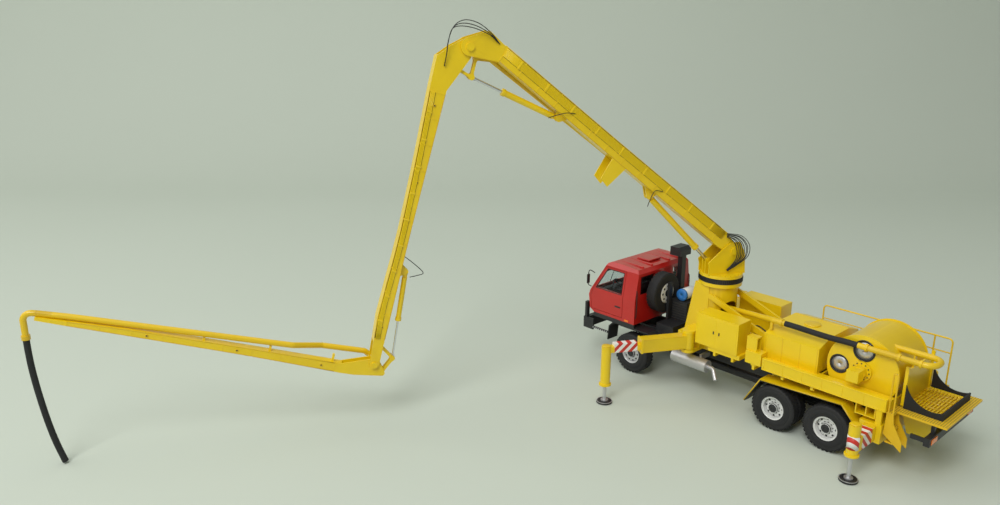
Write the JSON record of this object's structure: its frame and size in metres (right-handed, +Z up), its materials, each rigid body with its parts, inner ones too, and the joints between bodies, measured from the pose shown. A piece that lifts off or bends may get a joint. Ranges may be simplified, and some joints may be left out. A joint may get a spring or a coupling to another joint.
{
  "type": "scale model of a concrete pump truck",
  "caption": "Scale model truck with a slewing, folding concrete placing boom, outriggers that swing and slide, steering and rolling wheels, and opening cab doors.",
  "frame": {"origin": "on the ground under the axis about which the boom slews", "axes": "+X towards the rear of the truck, +Y towards its right side, +Z up"},
  "size_m": [0.4226, 0.5622, 0.2873],
  "materials": {
    "yellow_paint": "gloss",
    "red_paint": "gloss",
    "black_paint": "satin",
    "silver_paint": "satin",
    "grey_grating": "matt",
    "bright_steel": "polished",
    "tyre_rubber": "matt",
    "black_rubber": "matt",
    "black_plastic": "satin",
    "interior_plastic": "matt",
    "iron": "matt"
  },
  "bodies": {
    "root": {"axles": "black_paint", "cab_interior": "interior_plastic", "cab_shell": "red_paint", "chassis_frame": "black_paint", "deck": "yellow_paint", "delivery_hose": "black_rubber", "engine_block": "iron", "exhaust": "silver_paint", "fenders": "black_plastic", "front_bumper": "black_paint", "handrails": "yellow_paint", "hopper": "yellow_paint", "hopper_guards": "black_rubber", "pedestal": "yellow_paint", "platform": "grey_grating", "pump_drum": "yellow_paint", "pump_pipes": "yellow_paint", "rear_outrigger_box": "yellow_paint", "rear_rack": "black_paint", "side_lockers": "yellow_paint", "slew_ring": "black_paint", "spare_wheel": "tyre_rubber", "underrun_bar": "black_paint", "water_tank": "yellow_paint"},
    "knuckle_left": {"knuckle_left": "black_paint"},
    "knuckle_right": {"knuckle_right": "black_paint"},
    "front_wheel_left": {"front_wheel_left": "tyre_rubber"},
    "front_wheel_right": {"front_wheel_right": "tyre_rubber"},
    "middle_wheel_left": {"middle_wheel_left": "tyre_rubber"},
    "middle_wheel_right": {"middle_wheel_right": "tyre_rubber"},
    "rear_wheel_left": {"rear_wheel_left": "tyre_rubber"},
    "rear_wheel_right": {"rear_wheel_right": "tyre_rubber"},
    "cab_door_left": {"cab_door_left": "red_paint"},
    "cab_door_right": {"cab_door_right": "red_paint"},
    "front_leg_left": {"front_leg_left": "silver_paint"},
    "front_leg_right": {"front_leg_right": "silver_paint"},
    "rear_leg_left": {"rear_leg_left": "silver_paint"},
    "rear_leg_right": {"rear_leg_right": "silver_paint"},
    "lift_barrel": {"lift_barrel": "yellow_paint"},
    "lift_rod": {"lift_rod": "bright_steel"},
    "fold2_barrel": {"fold2_barrel": "yellow_paint"},
    "fold2_rod": {"fold2_rod": "bright_steel"},
    "fold2_link": {"fold2_link": "yellow_paint"},
    "fold2_tie": {"fold2_tie": "yellow_paint"},
    "fold3_barrel": {"fold3_barrel": "yellow_paint"},
    "fold3_rod": {"fold3_rod": "bright_steel"},
    "fold3_lever": {"fold3_lever": "yellow_paint"},
    "fold3_tie": {"fold3_tie": "yellow_paint"},
    "front_arm_left": {"front_arm_left": "yellow_paint"},
    "front_arm_right": {"front_arm_right": "yellow_paint"},
    "rear_beam_left": {"rear_beam_left": "yellow_paint"},
    "rear_beam_right": {"rear_beam_right": "yellow_paint"},
    "turret": {"turret": "yellow_paint"},
    "boom_1": {"boom_1": "yellow_paint", "boom_1_pipe": "yellow_paint"},
    "boom_2": {"boom_2": "yellow_paint", "boom_2_pipe": "yellow_paint"},
    "boom_3": {"boom_3": "yellow_paint", "boom_3_pipe": "yellow_paint", "end_hose": "black_rubber"}
  },
  "joints": [
    {"name": "steer_left", "type": "hinge", "parent": "root", "child": "knuckle_left", "pos_m": [-0.059, -0.0245, 0.0172], "axis": [0, 0, 1], "range_deg": [-30, 30]},
    {"name": "front_wheel_left_spin", "type": "hinge", "parent": "knuckle_left", "child": "front_wheel_left", "pos_m": [-0.059, -0.03225, 0.0172], "axis": [0, 1, 0], "continuous": true},
    {"name": "middle_wheel_left_spin", "type": "hinge", "parent": "root", "child": "middle_wheel_left", "pos_m": [0.0772, -0.0296, 0.0172], "axis": [0, 1, 0], "continuous": true},
    {"name": "rear_wheel_left_spin", "type": "hinge", "parent": "root", "child": "rear_wheel_left", "pos_m": [0.1185, -0.0296, 0.0172], "axis": [0, 1, 0], "continuous": true},
    {"name": "door_left_swing", "type": "hinge", "parent": "root", "child": "cab_door_left", "pos_m": [-0.1052, -0.0385, 0.06], "axis": [0, 0, -1], "range_deg": [0, 65]},
    {"name": "front_arm_left_swing", "type": "hinge", "parent": "root", "child": "front_arm_left", "pos_m": [-0.002, -0.036, 0.0403], "axis": [0, 0, 1], "range_deg": [0, 60]},
    {"name": "front_leg_left_lift", "type": "slide", "parent": "front_arm_left", "child": "front_leg_left", "axis": [0, 0, 1], "range_m": [0, 0.012]},
    {"name": "rear_beam_left_slide", "type": "slide", "parent": "root", "child": "rear_beam_left", "axis": [0, 1, 0], "range_m": [0, 0.018]},
    {"name": "rear_leg_left_lift", "type": "slide", "parent": "rear_beam_left", "child": "rear_leg_left", "axis": [0, 0, 1], "range_m": [0, 0.012]},
    {"name": "steer_right", "type": "hinge", "parent": "root", "child": "knuckle_right", "pos_m": [-0.059, 0.0245, 0.0172], "axis": [0, 0, 1], "range_deg": [-30, 30]},
    {"name": "front_wheel_right_spin", "type": "hinge", "parent": "knuckle_right", "child": "front_wheel_right", "pos_m": [-0.059, 0.03225, 0.0172], "axis": [0, 1, 0], "continuous": true},
    {"name": "middle_wheel_right_spin", "type": "hinge", "parent": "root", "child": "middle_wheel_right", "pos_m": [0.0772, 0.0296, 0.0172], "axis": [0, 1, 0], "continuous": true},
    {"name": "rear_wheel_right_spin", "type": "hinge", "parent": "root", "child": "rear_wheel_right", "pos_m": [0.1185, 0.0296, 0.0172], "axis": [0, 1, 0], "continuous": true},
    {"name": "door_right_swing", "type": "hinge", "parent": "root", "child": "cab_door_right", "pos_m": [-0.1052, 0.0385, 0.06], "axis": [0, 0, 1], "range_deg": [0, 65]},
    {"name": "front_arm_right_swing", "type": "hinge", "parent": "root", "child": "front_arm_right", "pos_m": [-0.002, 0.036, 0.0403], "axis": [0, 0, -1], "range_deg": [0, 60]},
    {"name": "front_leg_right_lift", "type": "slide", "parent": "front_arm_right", "child": "front_leg_right", "axis": [0, 0, 1], "range_m": [0, 0.012]},
    {"name": "rear_beam_right_slide", "type": "slide", "parent": "root", "child": "rear_beam_right", "axis": [0, -1, 0], "range_m": [0, 0.018]},
    {"name": "rear_leg_right_lift", "type": "slide", "parent": "rear_beam_right", "child": "rear_leg_right", "axis": [0, 0, 1], "range_m": [0, 0.012]},
    {"name": "slew", "type": "hinge", "parent": "root", "child": "turret", "pos_m": [0, 0, 0.0955], "axis": [0, 0, -1], "range_deg": [-116.4, 243.6]},
    {"name": "lift", "type": "hinge", "parent": "turret", "child": "boom_1", "pos_m": [0.00225, 0.00452, 0.117], "axis": [-0.8957, 0.4446, 0], "range_deg": [-33.6, 30]},
    {"name": "fold_2", "type": "hinge", "parent": "boom_1", "child": "boom_2", "pos_m": [-0.09344, -0.18824, 0.27706], "axis": [0.8957, -0.4446, 0], "range_deg": [-108.65, 20]},
    {"name": "fold_3", "type": "hinge", "parent": "boom_2", "child": "boom_3", "pos_m": [-0.12618, -0.25419, 0.05031], "axis": [-0.8957, 0.4446, 0], "range_deg": [-86.3, 30]},
    {"name": "lift_barrel_swing", "type": "hinge", "parent": "boom_1", "child": "lift_barrel", "pos_m": [-0.03056, -0.06157, 0.1644], "axis": [-0.8957, 0.4446, 0], "range_deg": [-3.86, 3.5]},
    {"name": "lift_rod_stroke", "type": "slide", "parent": "lift_barrel", "child": "lift_rod", "axis": [0.3122, 0.629, -0.712], "range_m": [-0.01062, 0.0095]},
    {"name": "fold2_link_swing", "type": "hinge", "parent": "boom_1", "child": "fold2_link", "pos_m": [-0.09105, -0.18341, 0.26956], "axis": [-0.8957, 0.4446, 0], "range_deg": [-21.1, 112.41]},
    {"name": "fold2_tie_swing", "type": "hinge", "parent": "boom_2", "child": "fold2_tie", "pos_m": [-0.09829, -0.198, 0.26388], "axis": [-0.8957, 0.4446, 0], "range_deg": [-58.09, 11.1]},
    {"name": "fold2_barrel_swing", "type": "hinge", "parent": "boom_1", "child": "fold2_barrel", "pos_m": [-0.06383, -0.12858, 0.22552], "axis": [-0.8957, 0.4446, 0], "range_deg": [-1.7, 7.02]},
    {"name": "fold2_rod_stroke", "type": "slide", "parent": "fold2_barrel", "child": "fold2_rod", "axis": [-0.4018, -0.8094, 0.4283], "range_m": [-0.0038, 0.01976]},
    {"name": "fold3_lever_swing", "type": "hinge", "parent": "boom_2", "child": "fold3_lever", "pos_m": [-0.12412, -0.25004, 0.06426], "axis": [-0.8957, 0.4446, 0], "range_deg": [-46.24, 16.4]},
    {"name": "fold3_tie_swing", "type": "hinge", "parent": "boom_3", "child": "fold3_tie", "pos_m": [-0.12381, -0.24942, 0.04246], "axis": [-0.8957, 0.4446, 0], "range_deg": [-33.5, 95.43]},
    {"name": "fold3_barrel_swing", "type": "hinge", "parent": "boom_2", "child": "fold3_barrel", "pos_m": [-0.11468, -0.23101, 0.11898], "axis": [-0.8957, 0.4446, 0], "range_deg": [-5.68, 2.3]},
    {"name": "fold3_rod_stroke", "type": "slide", "parent": "fold3_barrel", "child": "fold3_rod", "axis": [-0.0783, -0.1578, -0.9844], "range_m": [-0.01056, 0.0038]}
  ],
  "couplings": [
    {"joint": "steer_right", "follows": "steer_left", "ratio": 1},
    {"joint": "lift_barrel_swing", "follows": "lift", "ratio": 0.1},
    {"joint": "lift_rod_stroke", "follows": "lift", "m_per_rad": 0.017762},
    {"joint": "fold2_link_swing", "follows": "fold_2", "ratio": -1.03},
    {"joint": "fold2_tie_swing", "follows": "fold_2", "ratio": 0.53},
    {"joint": "fold2_barrel_swing", "follows": "fold_2", "ratio": -0.06},
    {"joint": "fold2_rod_stroke", "follows": "fold_2", "m_per_rad": -0.010313},
    {"joint": "fold3_lever_swing", "follows": "fold_3", "ratio": 0.53},
    {"joint": "fold3_tie_swing", "follows": "fold_3", "ratio": -1.1},
    {"joint": "fold3_barrel_swing", "follows": "fold_3", "ratio": 0.06},
    {"joint": "fold3_rod_stroke", "follows": "fold_3", "m_per_rad": 0.0068755}
  ]
}
